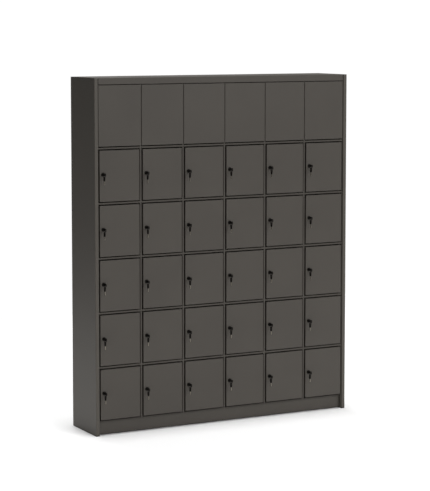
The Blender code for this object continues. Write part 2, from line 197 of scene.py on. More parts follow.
class LockerSizes(bpy.types.PropertyGroup):
    sheet: FloatProperty(
        name="Sheet", description="Thickness of the steel sheet", default=0.001, unit="LENGTH"
    )
    bend: FloatProperty(
        name="Bend", description="Outer radius of the bends", default=0.0015, unit="LENGTH"
    )
    corner: FloatProperty(
        name="Side corner",
        description="Outer radius of the front corner of a side panel",
        default=0.0025,
        unit="LENGTH",
    )
    lip: FloatProperty(
        name="Door lip", description="Width of the lip behind a door", default=0.012, unit="LENGTH"
    )
    clearance: FloatProperty(
        name="Clearance",
        description="Gap between two parts that fit together",
        default=0.0003,
        unit="LENGTH",
    )
    pin: FloatProperty(
        name="Hinge pin", description="Radius of a hinge pin", default=0.002, unit="LENGTH"
    )
    bezel: FloatProperty(
        name="Bezel",
        description="Radius of the round bezel of a lock",
        default=0.010,
        unit="LENGTH",
    )
    bezel_thickness: FloatProperty(
        name="Bezel thickness",
        description="How far the bezel stands in front of the door",
        default=0.003,
        unit="LENGTH",
    )
    barrel: FloatProperty(
        name="Barrel",
        description="Radius of the lock's barrel behind the door",
        default=0.0075,
        unit="LENGTH",
    )
    plug: FloatProperty(
        name="Plug",
        description="Radius of the part of a lock that turns",
        default=0.0048,
        unit="LENGTH",
    )
    plug_proud: FloatProperty(
        name="Plug rise",
        description="How far the plug stands in front of the bezel",
        default=0.0005,
        unit="LENGTH",
    )
    nose: FloatProperty(
        name="Plug nose",
        description="Length of the plug's cone, into which the key goes",
        default=0.0066,
        unit="LENGTH",
    )
    nose_tip: FloatProperty(
        name="Nose tip", description="Radius of the cone at its tip", default=0.0036, unit="LENGTH"
    )
    cam_width: FloatProperty(
        name="Cam width",
        description="Width of the cam behind the door",
        default=0.014,
        unit="LENGTH",
    )
    cam_length: FloatProperty(
        name="Cam length",
        description="Reach of the cam from its axis",
        default=0.028,
        unit="LENGTH",
    )
    cam_thickness: FloatProperty(
        name="Cam thickness",
        description="Thickness of the cam's steel",
        default=0.002,
        unit="LENGTH",
    )
    play: FloatProperty(
        name="Cam play",
        description="Room round the cam where it turns",
        default=0.001,
        unit="LENGTH",
    )
    head_length: FloatProperty(
        name="Key head length",
        description="Length of the moulded head of a key",
        default=0.025,
        unit="LENGTH",
    )
    head_width: FloatProperty(
        name="Key head width",
        description="Width of the moulded head of a key",
        default=0.016,
        unit="LENGTH",
    )
    neck_width: FloatProperty(
        name="Key neck width",
        description="Width of the moulded head of a key where its blade starts",
        default=0.0125,
        unit="LENGTH",
    )
    head_thickness: FloatProperty(
        name="Key head thickness",
        description="Thickness of the moulded head of a key",
        default=0.003,
        unit="LENGTH",
    )
    eye_start: FloatProperty(
        name="Eye start",
        description="Distance of the slot for the ring from the head's free end",
        default=0.0027,
        unit="LENGTH",
    )
    eye_end: FloatProperty(
        name="Eye end",
        description="Distance of the slot's far end from the head's free end",
        default=0.0133,
        unit="LENGTH",
    )
    eye_width: FloatProperty(
        name="Eye width",
        description="Width of the slot for the ring",
        default=0.0044,
        unit="LENGTH",
    )
    blade_length: FloatProperty(
        name="Blade length",
        description="Length of a key's blade in front of its head",
        default=0.018,
        unit="LENGTH",
    )
    blade_width: FloatProperty(
        name="Blade width", description="Width of a key's blade", default=0.0065, unit="LENGTH"
    )
    blade_thickness: FloatProperty(
        name="Blade thickness",
        description="Thickness of a key's blade",
        default=0.002,
        unit="LENGTH",
    )
    ring: FloatProperty(
        name="Ring",
        description="Radius of the ring between two keys",
        default=0.0055,
        unit="LENGTH",
    )
    wire: FloatProperty(
        name="Ring wire",
        description="Half the thickness of the ring",
        default=0.0008,
        unit="LENGTH",
    )
    hang_turn: FloatProperty(
        name="Hang turn",
        description="How far the ring and the spare key turn from the door's normal",
        default=math.radians(10),
        unit="ROTATION",
    )


def colours():
    return bpy.context.scene.locker_colours


def sizes():
    return bpy.context.scene.locker_sizes


# Tests of faces, by middle and normal, and of edges, by their two ends


def every(first, second):
    """Passes each face or edge."""
    return True


def looks_forward(middle, normal):
    return normal.y < -FACING


def looks_back(middle, normal):
    return normal.y > FACING


def looks_sideways(middle, normal):
    return abs(normal.x) > FACING


def along(axis):
    """A test for edges that run along an axis, straight or aslant."""
    return lambda a, b: abs(a[axis] - b[axis]) > NEAR


def across(axis):
    """A test for edges that are square to an axis."""
    return lambda a, b: abs(a[axis] - b[axis]) < NEAR


# Modelling


def deselect():
    if bpy.context.mode != "OBJECT":
        bpy.ops.object.mode_set(mode="OBJECT")
    bpy.ops.object.select_all(action="DESELECT")


def activate(piece):
    deselect()
    piece.select_set(True)
    bpy.context.view_layer.objects.active = piece


def settle(name):
    """Names the new primitive and puts its place into its mesh."""
    piece = bpy.context.object
    piece.name = name
    piece.data.name = name
    bpy.ops.object.transform_apply(location=True, rotation=True, scale=True)
    return piece


def block(name, low, high):
    """A box between two corners, to be shaped further."""
    deselect()
    low, high = Vector(low), Vector(high)
    bpy.ops.mesh.primitive_cube_add(size=1, location=(low + high) / 2)
    bpy.context.object.scale = high - low
    return settle(name)


def turned(name, radius, start, end, wall=0, sides=32):
    """A round bar from start to end along a coordinate axis, or a tube where it has a wall."""
    deselect()
    start, end = Vector(start), Vector(end)
    along = end - start
    bpy.ops.mesh.primitive_cylinder_add(
        vertices=sides,
        radius=radius,
        depth=along.length,
        end_fill_type="NOTHING" if wall else "NGON",
        location=(start + end) / 2,
        rotation=along.to_track_quat("Z", "Y").to_euler(),
    )
    piece = settle(name)
    if wall:
        apply(piece, "SOLIDIFY", thickness=wall, offset=-1, use_even_offset=True)
    return piece


def pick_faces(piece, test):
    """Leaves selected, in edit mode, the faces whose middle and normal pass the test."""
    activate(piece)
    bpy.ops.object.mode_set(mode="EDIT")
    bpy.ops.mesh.select_mode(type="FACE")
    bpy.ops.mesh.select_all(action="DESELECT")
    bpy.ops.object.mode_set(mode="OBJECT")
    for face in piece.data.polygons:
        face.select = test(face.center, face.normal)
    bpy.ops.object.mode_set(mode="EDIT")


def pick_edges(piece, test):
    """Leaves selected, in edit mode, the edges whose two ends pass the test."""
    activate(piece)
    bpy.ops.object.mode_set(mode="EDIT")
    bpy.ops.mesh.select_mode(type="EDGE")
    bpy.ops.mesh.select_all(action="DESELECT")
    bpy.ops.object.mode_set(mode="OBJECT")
    places = [vert.co for vert in piece.data.vertices]
    for edge in piece.data.edges:
        first, second = edge.vertices
        edge.select = test(places[first], places[second])
    bpy.ops.object.mode_set(mode="EDIT")


def extrude(step):
    bpy.ops.mesh.extrude_region_move(TRANSFORM_OT_translate={"value": step})


def round_edges(piece, test, radius, steps=3):
    """Rounds the edges that pass the test."""
    pick_edges(piece, test)
    bpy.ops.mesh.bevel(offset=radius, segments=steps, profile=0.5, clamp_overlap=True)
    bpy.ops.object.mode_set(mode="OBJECT")


def sink(piece, test, rim, depth):
    """Sets the faces that pass the test back by a depth, inside a rim."""
    pick_faces(piece, test)
    bpy.ops.mesh.inset(thickness=rim)
    bpy.ops.mesh.inset(thickness=depth / 2, depth=-depth)
    bpy.ops.object.mode_set(mode="OBJECT")


def apply(piece, kind, **settings):
    """Adds a modifier with its settings and applies it."""
    activate(piece)
    modifier = piece.modifiers.new(kind.lower(), kind)
    for name, value in settings.items():
        setattr(modifier, name, value)
    bpy.ops.object.modifier_apply(modifier=modifier.name)


def cut(piece, cutter):
    """Takes the cutter's shape out of a piece, and the cutter out of the scene."""
    apply(piece, "BOOLEAN", object=cutter, operation="DIFFERENCE", solver="EXACT")
    bpy.data.objects.remove(cutter)


def join(*pieces):
    """Joins the pieces into the first of them."""
    activate(pieces[0])
    for piece in pieces[1:]:
        piece.select_set(True)
    bpy.ops.object.join()
    return pieces[0]


def smooth(piece, is_turned=False):
    """Shades a piece, and writes how far each point lies on an edge, where a finish wears and the
    powder coat gets a painted highlight.
    """
    mesh = piece.data
    tilt = 1 - math.cos(math.radians(45))
    # The powder coat reads this as a painted highlight on its bends; the plastic and the nickel read
    # it as wear.
    layer = mesh.attributes.new("edge", "FLOAT", "POINT")
    for vert, item in zip(mesh.vertices, layer.data):
        x, y, z = (abs(share) for share in vert.normal)
        flatness = max(y, math.hypot(x, z)) if is_turned else max(x, y, z)
        item.value = min(1, max(0, 1 - flatness) / tilt)
    activate(piece)
    bpy.ops.object.shade_smooth_by_angle(angle=SMOOTH_ANGLE)
    apply(piece, "WEIGHTED_NORMAL", keep_sharp=True)
    return piece


def finish(piece, surface, slot, body, *nodes):
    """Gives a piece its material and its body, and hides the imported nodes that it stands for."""
    deselect()
    piece.data.materials.clear()
    piece.data.materials.append(surface)
    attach(piece, body)
    if nodes:
        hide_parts(*nodes)


def copy_to(master, name, place):
    """A copy of a piece with its own mesh, in which it is moved and turned to its place."""
    mesh = master.data.copy()
    mesh.name = name
    mesh.transform(place)
    piece = bpy.data.objects.new(name, mesh)
    bpy.context.scene.collection.objects.link(piece)
    return piece


def discard(*masters):
    for master in masters:
        bpy.data.objects.remove(master)


# Materials


def feed(tree, node, inputs):
    """Gives each named input of a node a value or a link."""
    for name, value in inputs.items():
        if isinstance(value, bpy.types.NodeSocket):
            tree.links.new(value, node.inputs[name])
        else:
            node.inputs[name].default_value = value


def add_node(tree, kind, settings=(), inputs=()):
    """Adds a node, sets its settings and feeds its inputs."""
    node = tree.nodes.new("ShaderNode" + kind)
    for name, value in dict(settings).items():
        setattr(node, name, value)
    feed(tree, node, dict(inputs))
    return node


def material(name, paint):
    """The material of this name. On its first use, the given function says what its shader gets."""
    found = bpy.data.materials.get(name)
    if found is None:
        found = bpy.data.materials.new(name)
        found.use_nodes = True
        tree = found.node_tree
        places = add_node(tree, "TexCoord").outputs["Object"]
        feed(tree, tree.nodes["Principled BSDF"], paint(tree, places))
    return found


def paint_coat(tree, places):
    """Polyester powder, sprayed and baked: a soft satin over fine pebbles, with a painted highlight
    on the bends.
    """
    # The film's thickness drifts over a third of a metre, as the spray gun passes.
    clouds = add_node(
        tree,
        "TexNoise",
        inputs={"Vector": places, "Scale": 1 / 0.35, "Detail": 3, "Roughness": 0.6},
    )
    # The real pebbles are under 1 mm. They are drawn 2 mm wide, so that they show.
    pebbles = add_node(
        tree,
        "TexNoise",
        inputs={"Vector": places, "Scale": 1 / 0.002, "Detail": 2, "Roughness": 0.5},
    )
    # The edge attribute paints a highlight on the bends: the coat is drawn lighter there.
    bends = add_node(tree, "Attribute", {"attribute_name": "edge"})
    drift = add_node(
        tree,
        "MapRange",
        inputs={"Value": clouds.outputs["Fac"], "From Min": 0.35, "From Max": 0.7, "To Max": 0.4},
    )
    # The lighter coat goes where the coat is thinner in clouds, and on the bends as a painted
    # highlight.
    thin_clouds_and_highlight = add_node(
        tree,
        "Math",
        {"operation": "MAXIMUM"},
        {0: drift.outputs["Result"], 1: bends.outputs["Fac"]},
    )
    mixed = add_node(
        tree,
        "Mix",
        {"data_type": "RGBA"},
        {
            "Factor": thin_clouds_and_highlight.outputs["Value"],
            "A": (*colours().coat, 1),
            "B": (*colours().coat_thin_and_highlight, 1),
        },
    )
    satin = add_node(
        tree,
        "MapRange",
        inputs={
            "Value": pebbles.outputs["Fac"],
            "From Min": 0.3,
            "From Max": 0.7,
            "To Min": 0.46,
            "To Max": 0.56,
        },
    )
    bump = add_node(
        tree,
        "Bump",
        inputs={"Strength": 0.25, "Distance": 0.0001, "Height": pebbles.outputs["Fac"]},
    )
    return {
        "Specular IOR Level": 0.3,
        "Base Color": mixed.outputs["Result"],
        "Roughness": satin.outputs["Result"],
        "Normal": bump.outputs["Normal"],
    }


def paint_plastic(tree, places):
    """Black ABS from a spark-eroded mould: deep and dull, with fine grain and rubbed edges."""
    grain = add_node(tree, "TexNoise", inputs={"Vector": places, "Scale": 1 / 0.0006, "Detail": 2})
    edges = add_node(tree, "Attribute", {"attribute_name": "edge"})
    # Hands rub the edges in patches about 5 mm long.
    patches = add_node(tree, "TexNoise", inputs={"Vector": places, "Scale": 1 / 0.005, "Detail": 2})
    rubbed = add_node(
        tree,
        "Math",
        {"operation": "MULTIPLY"},
        {0: edges.outputs["Fac"], 1: patches.outputs["Fac"]},
    )
    mixed = add_node(
        tree,
        "Mix",
        {"data_type": "RGBA"},
        {
            "Factor": rubbed.outputs["Value"],
            "A": (*colours().plastic, 1),
            "B": (*colours().plastic_rubbed, 1),
        },
    )
    dull = add_node(
        tree,
        "MapRange",
        inputs={
            "Value": grain.outputs["Fac"],
            "From Min": 0.3,
            "From Max": 0.7,
            "To Min": 0.42,
            "To Max": 0.54,
        },
    )
    bump = add_node(
        tree, "Bump", inputs={"Strength": 0.3, "Distance": 0.00006, "Height": grain.outputs["Fac"]}
    )
    return {
        "Specular IOR Level": 0.15,
        "Base Color": mixed.outputs["Result"],
        "Roughness": dull.outputs["Result"],
        "Normal": bump.outputs["Normal"],
    }


def paint_nickel(tree, places):
    """Nickel plate, stamped and tumbled: a hazy, faintly warm shine, paler where it is worn."""
    haze = add_node(tree, "TexNoise", inputs={"Vector": places, "Scale": 1 / 0.004, "Detail": 4})
    # Tumbling leaves scratches of about 0.3 mm all over.
    scratches = add_node(
        tree, "TexNoise", inputs={"Vector": places, "Scale": 1 / 0.0003, "Detail": 1}
    )
    edges = add_node(tree, "Attribute", {"attribute_name": "edge"})
    mixed = add_node(
        tree,
        "Mix",
        {"data_type": "RGBA"},
        {
            "Factor": edges.outputs["Fac"],
            "A": (*colours().nickel, 1),
            "B": (*colours().nickel_worn, 1),
        },
    )
    shine = add_node(
        tree,
        "MapRange",
        inputs={
            "Value": haze.outputs["Fac"],
            "From Min": 0.3,
            "From Max": 0.7,
            "To Min": 0.28,
            "To Max": 0.42,
        },
    )
    bump = add_node(
        tree,
        "Bump",
        inputs={"Strength": 0.15, "Distance": 0.00003, "Height": scratches.outputs["Fac"]},
    )
    return {
        "Metallic": 1,
        "Base Color": mixed.outputs["Result"],
        "Roughness": shine.outputs["Result"],
        "Normal": bump.outputs["Normal"],
    }


def paint_spring_steel(tree, places):
    """Spring steel, burnished in hot oil: nearly black, greyer where the oxide has gone."""
    # The keys rub the ring bare in patches of about 2 mm.
    rubs = add_node(tree, "TexNoise", inputs={"Vector": places, "Scale": 1 / 0.002, "Detail": 3})
    bare = add_node(
        tree,
        "MapRange",
        inputs={"Value": rubs.outputs["Fac"], "From Min": 0.5, "From Max": 0.7, "To Max": 0.6},
    )
    mixed = add_node(
        tree,
        "Mix",
        {"data_type": "RGBA"},
        {
            "Factor": bare.outputs["Result"],
            "A": (*colours().spring_steel, 1),
            "B": (*colours().spring_bare, 1),
        },
    )
    oily = add_node(
        tree, "MapRange", inputs={"Value": rubs.outputs["Fac"], "To Min": 0.5, "To Max": 0.3}
    )
    bump = add_node(
        tree, "Bump", inputs={"Strength": 0.1, "Distance": 0.00002, "Height": rubs.outputs["Fac"]}
    )
    return {
        "Metallic": 1,
        "Base Color": mixed.outputs["Result"],
        "Roughness": oily.outputs["Result"],
        "Normal": bump.outputs["Normal"],
    }


def paint_floor(tree, places):
    """Matt studio paint: even and bright, with the faintest mottling from feet."""
    mottle = add_node(tree, "TexNoise", inputs={"Vector": places, "Scale": 1 / 0.8, "Detail": 2})
    # A roller leaves a stipple of about 3 mm.
    stipple = add_node(tree, "TexNoise", inputs={"Vector": places, "Scale": 1 / 0.003, "Detail": 1})
    mixed = add_node(
        tree,
        "Mix",
        {"data_type": "RGBA"},
        {
            "Factor": mottle.outputs["Fac"],
            "A": (*colours().floor, 1),
            "B": (*colours().floor_scuffed, 1),
        },
    )
    matt = add_node(
        tree, "MapRange", inputs={"Value": mottle.outputs["Fac"], "To Min": 0.75, "To Max": 0.85}
    )
    bump = add_node(
        tree, "Bump", inputs={"Strength": 0.1, "Distance": 0.0002, "Height": stipple.outputs["Fac"]}
    )
    return {
        "Specular IOR Level": 0.1,
        "Base Color": mixed.outputs["Result"],
        "Roughness": matt.outputs["Result"],
        "Normal": bump.outputs["Normal"],
    }


def powder_coat():
    return material("anthracite powder coat", paint_coat)


def moulded_plastic():
    return material("black moulded ABS", paint_plastic)


def nickel_plate():
    return material("nickel plate", paint_nickel)


def burnished_steel():
    return material("burnished spring steel", paint_spring_steel)


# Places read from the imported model


def joint_place(name):
    """Where the joint of a body lies. A door's is on its hinge axis, level with its bottom edge."""
    joint = next(item for item in frame["joints"] if item["child"] == name)
    return Vector(joint["pos_m"])


def doors():
    """Each door's row and column, as the ending of its names, its name and its hinge's place."""
    for row in range(1, ROWS + 1):
        for column in range(1, COLUMNS + 1):
            tag = f"r{row}_c{column}"
            door = f"door_{tag}"
            yield tag, door, Matrix.Translation(joint_place(door))


def turner(tag, door):
    """The body of a lock's turning parts: its plug or, where the plug is fixed, its door."""
    plug = f"lock_plug_{tag}"
    return plug if plug in frame["bodies"] else door


def leaf_corners():
    """The lowest and highest corner of a door's folded sheet, from its hinge."""
    low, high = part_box("door_r1_c1")
    pin = joint_place("door_r1_c1")
    rail_low, rail_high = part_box("shelf_1")
    panel_low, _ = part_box("blank_panel_1")
    front = panel_low.y - pin.y
    gap = panel_low.z - rail_high.z
    return (
        Vector((low.x - pin.x, front, 0)),
        Vector((high.x - pin.x, -front, rail_low.z - gap - pin.z)),
    )


def lock_middle():
    """Where a lock's axis meets the face of its door, from the door's hinge."""
    axis = joint_place("lock_plug_r1_c1") - joint_place("door_r1_c1")
    return Vector((axis.x, leaf_corners()[0].y, axis.z))


def behind(depth):
    """The point on a lock's axis this far behind the door's face, from the door's hinge."""
    return lock_middle() + Vector((0, depth, 0))


def cam_back():
    """How far the back of a lock's cam lies behind the door's face."""
    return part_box("lock_plug_r1_c1")[1].y - joint_place("door_r1_c1").y - lock_middle().y


def cam_start():
    """How far the front of a lock's cam lies behind the door's face."""
    return cam_back() - sizes().cam_thickness


def key_end():
    """The free end of the key in a lock, from the door's hinge."""
    middle = lock_middle()
    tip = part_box("lock_plug_r1_c1")[0].y - joint_place("door_r1_c1").y
    return Vector((middle.x, tip, middle.z))


def ring_middle():
    """The ring's middle. It rests on the lower side of the key's slot, at the end by the door."""
    wire = sizes().wire
    eye = Vector((0, sizes().eye_end - wire, wire - sizes().eye_width / 2))
    return key_end() + eye + Vector((0, 0, -sizes().ring))


def spare_place():
    """Where the spare key hangs: in the ring by its slot's upper end, beside the other's head."""
    below = -sizes().ring + sizes().wire + sizes().eye_start
    hook = ring_middle() + Vector((-sizes().head_thickness, 0, below))
    turn = Matrix.Rotation(sizes().hang_turn, 4, "Z") @ Matrix.Rotation(-RIGHT_ANGLE, 4, "X")
    return Matrix.Translation(hook) @ turn


# Pieces


def folded_sheet(name, path, run, radii):
    """One sheet folded along a path, which is its middle line, with a radius for each fold."""

    def lies_on(fold):
        return lambda a, b: all((end - fold).cross(run).length < NEAR * run.length for end in (a, b))

    first = path[1] - path[0]
    place = Matrix((first, run, first.cross(run).normalized())).transposed().to_4x4()
    place.translation = path[0] + (first + run) / 2
    deselect()
    bpy.ops.mesh.primitive_plane_add(size=1)
    bpy.context.object.matrix_world = place
    sheet = settle(name)
    for start, end in zip(path[1:], path[2:]):
        pick_edges(sheet, lies_on(start))
        extrude(end - start)
        bpy.ops.object.mode_set(mode="OBJECT")
    for fold, radius in zip(path[1:], radii):
        round_edges(sheet, lies_on(fold), radius, steps=4)
    pick_faces(sheet, every)
    bpy.ops.mesh.normals_make_consistent(inside=False)
    bpy.ops.object.mode_set(mode="OBJECT")
    apply(sheet, "SOLIDIFY", thickness=sizes().sheet, offset=0, use_even_offset=True)
    return sheet


def make_side(node, sign):
    """A side panel: one sheet round its outside, front and back, and in again beside the doors."""
    low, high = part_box(node)
    outside, inside = (low.x, high.x) if sign < 0 else (high.x, low.x)
    frame_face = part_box("shelf_1")[0].y
    back = high.y
    sheet = sizes().sheet
    half = sheet / 2
    hem = back - sheet - sizes().clearance
    # In front of the posts, the sheet steps this far away from the doors.
    step = 3 * sheet
    outer = outside - sign * half
    inner = inside + sign * half
    front_inner = inner + sign * step

    def spot(x, y):
        return Vector((x, y, low.z))

    path = [
        spot(inner, hem),
        spot(inner, frame_face + half),
        spot(front_inner, frame_face + half),
        spot(front_inner, low.y + half),
        spot(outer, low.y + half),
        spot(outer, back - half),
        spot(inside, back - half),
    ]
    tight = sizes().bend / 2
    radii = (tight, tight, sizes().bend, sizes().corner - half, sizes().bend)
    name = node.replace("side_panel", "side")
    return folded_sheet(name, path, Vector((0, 0, high.z - low.z)), radii)


def cut_strikes(side):
    """The slots in the left side's inner skin, in which the first column's cams turn."""
    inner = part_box("side_panel_left")[1].x
    half, play = sizes().cam_width / 2, sizes().play
    reach = joint_place("lock_plug_r1_c1").x - inner - sizes().clearance
    drop = math.sqrt(sizes().cam_length**2 + half**2 - reach**2) + play
    rise = half + play
    room = Vector((2 * sizes().sheet, play, 0))
    for row in range(1, ROWS + 1):
        axis = joint_place(f"door_r{row}_c1") + lock_middle()
        low = Vector((inner, axis.y + cam_start(), axis.z - drop)) - room
        high = Vector((inner, axis.y + cam_back(), axis.z + rise)) + room
        cut(side, block("slot", low, high))


def make_blank(name, low, high):
    """A fixed panel: one sheet between two corners, with its four edges folded back."""
    panel = block(name, low, high)
    pick_faces(panel, looks_back)
    bpy.ops.mesh.delete(type="FACE")
    bpy.ops.object.mode_set(mode="OBJECT")
    back = high.y - NEAR
    round_edges(panel, lambda a, b: min(a.y, b.y) < back, sizes().bend)
    apply(panel, "SOLIDIFY", thickness=sizes().sheet, offset=-1)
    return smooth(panel)


def make_leaf():
    """A door: one sheet with its four edges folded back and then in behind it."""
    low, high = leaf_corners()
    leaf = block("leaf", low, high)
    pick_faces(leaf, looks_back)
    bpy.ops.mesh.inset(thickness=sizes().lip)
    bpy.ops.mesh.delete(type="FACE")
    bpy.ops.object.mode_set(mode="OBJECT")

    def outer(place):
        return any(min(place[axis] - low[axis], high[axis] - place[axis]) < NEAR for axis in (X, Z))

    round_edges(leaf, lambda a, b: outer(a) and outer(b), sizes().bend)
    apply(leaf, "SOLIDIFY", thickness=sizes().sheet, offset=-1)
    return smooth(leaf)


def make_pins():
    """The two hinge pins of a door, from inside its bottom and top folds."""
    pin = joint_place("door_r1_c1").z
    low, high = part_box("door_r1_c1")
    leaf_high = leaf_corners()[1].z
    sheet, radius = sizes().sheet, sizes().pin
    chamfer = radius / 5
    pins = []
    for bottom, top in ((low.z - pin, sheet), (leaf_high - sheet, high.z - pin)):
        rod = turned("pin", radius, (0, 0, bottom), (0, 0, top), sides=24)
        round_edges(rod, across(Z), chamfer, steps=2)
        pins.append(smooth(rod))
    return join(*pins)


def make_bezel():
    """A lock's round bezel, with a groove between its rim and its collar."""
    radius = sizes().bezel
    rim_round, groove_rim, groove_depth = radius / 9, radius / 11, radius / 16
    face = -sizes().bezel_thickness
    middle = lock_middle()
    front = middle.y + face
    wall = radius - sizes().plug - sizes().clearance
    bezel = turned("bezel", radius, behind(face), middle, wall, sides=40)

    def on_rim(place):
        outward = (place - middle) * Vector((1, 0, 1))
        return abs(place.y - front) < NEAR and outward.length > radius - sizes().clearance

    round_edges(bezel, lambda a, b: on_rim(a) and on_rim(b), rim_round, steps=4)
    sink(bezel, looks_forward, groove_rim, groove_depth)
    return smooth(bezel, is_turned=True)


def make_barrel():
    """A lock's barrel behind the door, with the hexagonal nut that holds it."""
    sheet, radius = sizes().sheet, sizes().barrel
    end = cam_start() - sizes().clearance
    barrel = turned("barrel", radius, behind(sheet), behind(end), radius - sizes().plug)
    last = lock_middle().y + end
    round_edges(barrel, lambda a, b: min(a.y, b.y) > last - NEAR, sheet / 2, steps=2)
    smooth(barrel, is_turned=True)
    nut_radius, nut_wall, nut_thickness = 1.5 * radius, radius / 2, 3 * sheet
    nut = turned("nut", nut_radius, behind(sheet), behind(sheet + nut_thickness), nut_wall, sides=6)
    round_edges(nut, every, sheet / 3, steps=2)
    return join(barrel, smooth(nut))


def make_core():
    """A lock's turning part without its key: a plug with a cone in front."""
    radius, tip_radius = sizes().plug, sizes().nose_tip
    shoulder, tip_round = radius / 12, tip_radius / 6
    taper = tip_radius / radius
    start = -sizes().bezel_thickness - sizes().plug_proud
    core = turned("core", radius, behind(start), behind(cam_back()))
    pick_faces(core, looks_forward)
    bpy.ops.mesh.inset(thickness=shoulder)
    extrude((0, -sizes().nose, 0))
    bpy.ops.transform.resize(value=(taper, 1, taper), center_override=behind(start - sizes().nose))
    bpy.ops.mesh.bevel(offset=tip_round, segments=2)
    bpy.ops.object.mode_set(mode="OBJECT")
    return smooth(core, is_turned=True)


def make_cam():
    """The pressed steel cam, hanging down behind the door, with its hexagonal screw."""
    half, thick = sizes().cam_width / 2, sizes().cam_thickness
    corner, edge, screw_radius = 0.64 * half, thick / 7, 0.8 * half
    near, far = behind(cam_start()), behind(cam_back())
    low = near - Vector((half, 0, sizes().cam_length))
    cam = block("cam", low, far + Vector((half, 0, half)))
    round_edges(cam, along(Y), corner, steps=5)
    round_edges(cam, across(Y), edge, steps=2)
    screw = turned("screw", screw_radius, far, behind(cam_back() + thick), sides=6)
    round_edges(screw, every, edge, steps=2)
    return join(smooth(cam), smooth(screw))


def make_head():
    """The moulded head of a key. It lies along +Y from the origin, with its flats to either side."""
    length, half, thick = sizes().head_length, sizes().head_width / 2, sizes().head_thickness / 2
    corner, edge, rim, hollow = 0.6 * half, 0.4 * thick, half / 9, thick / 5
    neck = sizes().neck_width / sizes().head_width
    head = block("head", (-thick, 0, -half), (thick, length, half))
    pick_faces(head, looks_back)
    bpy.ops.transform.resize(value=(1, 1, neck), center_override=(0, length, 0))
    bpy.ops.object.mode_set(mode="OBJECT")
    round_edges(head, along(X), corner, steps=6)
    round_edges(head, across(X), edge, steps=2)
    eye_half = sizes().eye_width / 2
    eye = block(
        "eye",
        (-2 * thick, sizes().eye_start, -eye_half),
        (2 * thick, sizes().eye_end, eye_half),
    )
    # Short of the whole half width, so that no two rounded corners meet.
    eye_corner = 0.96 * eye_half
    round_edges(eye, along(X), eye_corner, steps=6)
    cut(head, eye)
    sink(head, looks_sideways, rim, hollow)
    return smooth(head)


def make_blade():
    """A key's stamped blade with its groove and cuts, from inside the back of the head along +Y."""
    length, half, thick = sizes().blade_length, sizes().blade_width / 2, sizes().blade_thickness / 2
    tip_round, groove_rim, groove_depth = 0.7 * half, 0.7 * half, 0.4 * thick
    start = sizes().head_length
    tip = start + length
    blade = block("blade", (-thick, start - half, -half), (thick, tip, half))

    def on_tip(a, b):
        return min(a.y, b.y) > tip - NEAR and abs(a.z - b.z) < NEAR

    round_edges(blade, on_tip, tip_round)
    sink(blade, looks_sideways, groove_rim, groove_depth)
    # The four cuts are spread along the blade and differ in depth, as a key's code makes them.
    first_cut, pitch, mean_depth, spread = 0.3, 0.16, 0.45, 0.2
    cut_width = half / 2
    for number in range(4):
        place = start + length * (first_cut + pitch * number)
        depth = half * (mean_depth + spread * math.cos(3 * number))
        low = (-2 * thick, place, half - depth)
        cut(blade, block("cut", low, (2 * thick, place + cut_width, 2 * half)))
    return smooth(blade)


def make_ring():
    """The split ring: two close flat coils of wire, one behind the other, round the origin."""
    # Each coil is pressed flat to half the wire, so that the two together are as thick as one.
    pressed = 0.5
    coils = []
    for side in (-pressed, pressed):
        deselect()
        bpy.ops.mesh.primitive_torus_add(
            major_segments=40,
            minor_segments=8,
            major_radius=sizes().ring,
            minor_radius=sizes().wire,
        )
        coil = settle("ring")
        flat = Matrix.Scale(pressed, 4, (0, 1, 0)) @ Matrix.Rotation(RIGHT_ANGLE, 4, "X")
        shift = Matrix.Translation((0, side * sizes().wire, 0))
        turn = Matrix.Rotation(sizes().hang_turn, 4, "Z")
        coil.data.transform(turn @ shift @ flat)
        coils.append(smooth(coil))
    return join(*coils)


class LOCKER_OT_sides(bpy.types.Operator):
    """Folds the two side panels"""

    bl_idname = "locker.sides"
    bl_label = "Side panels"

    def execute(self, context):
        for node, sign in (("side_panel_left", -1), ("side_panel_right", 1)):
            side = make_side(node, sign)
            if sign < 0:
                cut_strikes(side)
            finish(smooth(side), powder_coat(), "painted_steel", "cabinet", node)
        return {"FINISHED"}


class LOCKER_OT_blank_panels(bpy.types.Operator):
    """Folds the fixed panels above the doors"""

    bl_idname = "locker.blank_panels"
    bl_label = "Blank panels"

    def execute(self, context):
        for column in range(1, COLUMNS + 1):
            node = f"blank_panel_{column}"
            panel = make_blank(f"upper_panel_{column}", *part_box(node))
            finish(panel, powder_coat(), "painted_steel", "cabinet", node)
        return {"FINISHED"}


class LOCKER_OT_doors(bpy.types.Operator):
    """Folds the doors and hangs them on their pins"""

    bl_idname = "locker.doors"
    bl_label = "Doors"

    def execute(self, context):
        leaf, pins = make_leaf(), make_pins()
        coat = powder_coat()
        for tag, door, place in doors():
            finish(copy_to(leaf, f"leaf_{tag}", place), coat, "painted_steel", door, door)
            finish(copy_to(pins, f"pins_{tag}", place), coat, "painted_steel", door)
        discard(leaf, pins)
        return {"FINISHED"}


class LOCKER_OT_locks(bpy.types.Operator):
    """Fits a cam lock in each door"""

    bl_idname = "locker.locks"
    bl_label = "Locks"

    def execute(self, context):
        bezel, barrel, core, cam = make_bezel(), make_barrel(), make_core(), make_cam()
        plastic, nickel = moulded_plastic(), nickel_plate()
        for tag, door, place in doors():
            body = turner(tag, door)
            plug = [body] if body != door else []
            finish(copy_to(bezel, f"lock_bezel_{tag}", place), plastic, "lock_parts", door)
            finish(copy_to(barrel, f"lock_barrel_{tag}", place), nickel, "key_steel", door)
            finish(copy_to(core, f"lock_core_{tag}", place), plastic, "lock_parts", body, *plug)
            finish(copy_to(cam, f"cam_{tag}", place), nickel, "key_steel", body)
        discard(bezel, barrel, core, cam)
        return {"FINISHED"}


